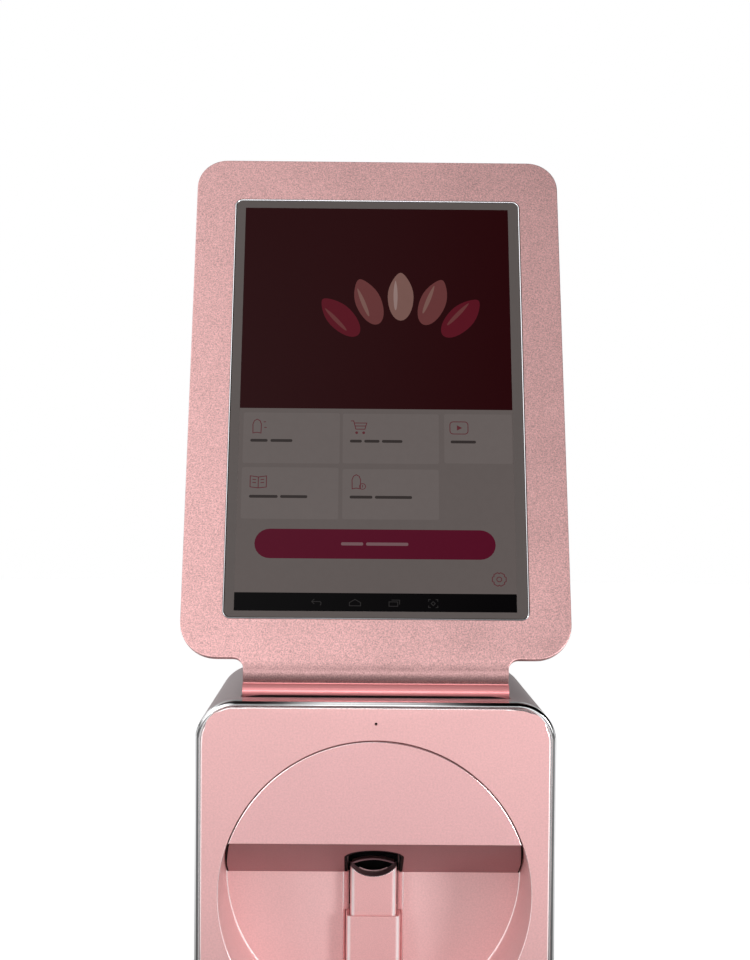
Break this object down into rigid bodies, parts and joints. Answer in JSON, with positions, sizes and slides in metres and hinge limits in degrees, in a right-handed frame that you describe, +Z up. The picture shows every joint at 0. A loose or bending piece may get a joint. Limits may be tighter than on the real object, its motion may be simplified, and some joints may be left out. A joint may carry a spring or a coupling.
{
  "type": "nail art printer",
  "caption": "Desktop nail art printer: round hand recess with a sprung finger rest under a half-moon hood, scanning print engine behind it, tilting touch display on top.",
  "frame": {"origin": "centre of the footprint on the table, under the feet", "axes": "+X to the right seen from the front, +Y from the front panel to the rear cover, +Z up"},
  "size_m": [0.188, 0.168, 0.4573],
  "materials": {
    "shell": "satin, fine grain",
    "trim": "polished",
    "panel": "satin pink paint",
    "rose": "satin pink paint",
    "grained": "fine metallic grain",
    "cover": "satin",
    "glass": "polished",
    "panel_dark": "satin",
    "black": "satin",
    "rubber": "matte",
    "motor": "satin",
    "steel": "zinc plated",
    "magnet": "nickel plated",
    "ground": "ground",
    "alloy": "milled",
    "brass": "turned",
    "board": "solder mask",
    "lamp": "diffusing",
    "ink": "moulded",
    "tab": "moulded"
  },
  "bodies": {
    "housing": {"main_shell": "shell", "front_trim": "trim", "front_panel": "panel", "recess_back": "rose", "grip_post": "rose", "rest_guide_pins": "ground", "rest_spring": "ground", "finger_arch": "rose", "finger_tray": "black", "finger_stop": "rubber", "body_magnets": "magnet", "status_lamp": "lamp", "rear_cover": "shell", "rear_screws": "magnet", "feet": "rubber", "foot_screws": "magnet", "base_plate": "steel", "side_plate_left": "steel", "side_plate_right": "steel", "deck_plate": "steel", "top_bridge": "steel", "feed_rods": "ground", "rod_holders": "black", "feed_motor": "motor", "motor_bracket": "steel", "screw_bearing": "brass", "screw_bracket": "steel", "service_base": "black", "service_cap": "rubber", "nail_camera": "board", "camera_lens": "black", "ring_light": "lamp", "main_board": "board", "board_posts": "brass", "power_inlet": "black", "usb_sockets": "trim", "power_switch": "black", "button_spring": "ground", "hinge_bracket": "steel"},
    "hood": {"print_hood": "panel", "port_lining": "black", "hood_magnets": "magnet"},
    "finger_support": {"finger_rest": "rose"},
    "gantry": {"gantry_frame": "alloy", "scan_rods": "ground", "scan_motor": "motor", "scan_belt": "rubber", "feed_nut": "brass"},
    "print_carriage": {"carriage": "black", "carriage_bushes": "brass", "ink_cartridge": "ink"},
    "latch": {"cartridge_latch": "tab"},
    "lead_screw": {"feed_screw": "ground"},
    "belt_drive": {"drive_pulley": "alloy"},
    "belt_return": {"idler_pulley": "alloy"},
    "button": {"power_button": "trim"},
    "display": {"display_frame": "grained", "display_module": "panel_dark", "touch_glass": "glass", "display_back": "cover"}
  },
  "joints": [
    {"name": "display_tilt", "type": "hinge", "parent": "housing", "child": "display", "pos_m": [0, -0.0635, 0.1895], "axis": [-1, 0, 0], "range_deg": [-14, 30]},
    {"name": "hood_pull", "type": "slide", "parent": "housing", "child": "hood", "axis": [0, -1, 0], "range_m": [0, 0.062]},
    {"name": "finger_rest_press", "type": "slide", "parent": "housing", "child": "finger_support", "axis": [0, 0, -1], "range_m": [0, 0.008], "stiffness_N_per_m": 300, "springref_m": -0.005, "deforming": ["rest_spring"]},
    {"name": "gantry_feed", "type": "slide", "parent": "housing", "child": "gantry", "axis": [0, -1, 0], "range_m": [0, 0.022]},
    {"name": "lead_screw_turn", "type": "hinge", "parent": "housing", "child": "lead_screw", "pos_m": [-0.034, 0.036, 0.088], "axis": [0, 1, 0], "range_deg": [0, 1985]},
    {"name": "carriage_scan", "type": "slide", "parent": "gantry", "child": "print_carriage", "axis": [-1, 0, 0], "range_m": [0, 0.06]},
    {"name": "drive_pulley_turn", "type": "hinge", "parent": "gantry", "child": "belt_drive", "pos_m": [-0.034, 0.061, 0.129], "axis": [0, 1, 0], "range_deg": [0, 575]},
    {"name": "idler_pulley_turn", "type": "hinge", "parent": "gantry", "child": "belt_return", "pos_m": [0.0375, 0.061, 0.129], "axis": [0, 1, 0], "range_deg": [0, 575]},
    {"name": "latch_lift", "type": "hinge", "parent": "print_carriage", "child": "latch", "pos_m": [0.03, 0.042, 0.1469], "axis": [-1, 0, 0], "range_deg": [0, 40]},
    {"name": "power_button_press", "type": "slide", "parent": "housing", "child": "button", "axis": [0, -1, 0], "range_m": [0, 0.0015], "stiffness_N_per_m": 800, "springref_m": -0.001, "deforming": ["button_spring"]}
  ],
  "couplings": [
    {"joint": "lead_screw_turn", "follows": "gantry_feed", "rad_per_m": 1570.8},
    {"joint": "drive_pulley_turn", "follows": "carriage_scan", "rad_per_m": 166.67},
    {"joint": "idler_pulley_turn", "follows": "carriage_scan", "rad_per_m": 166.67}
  ]
}
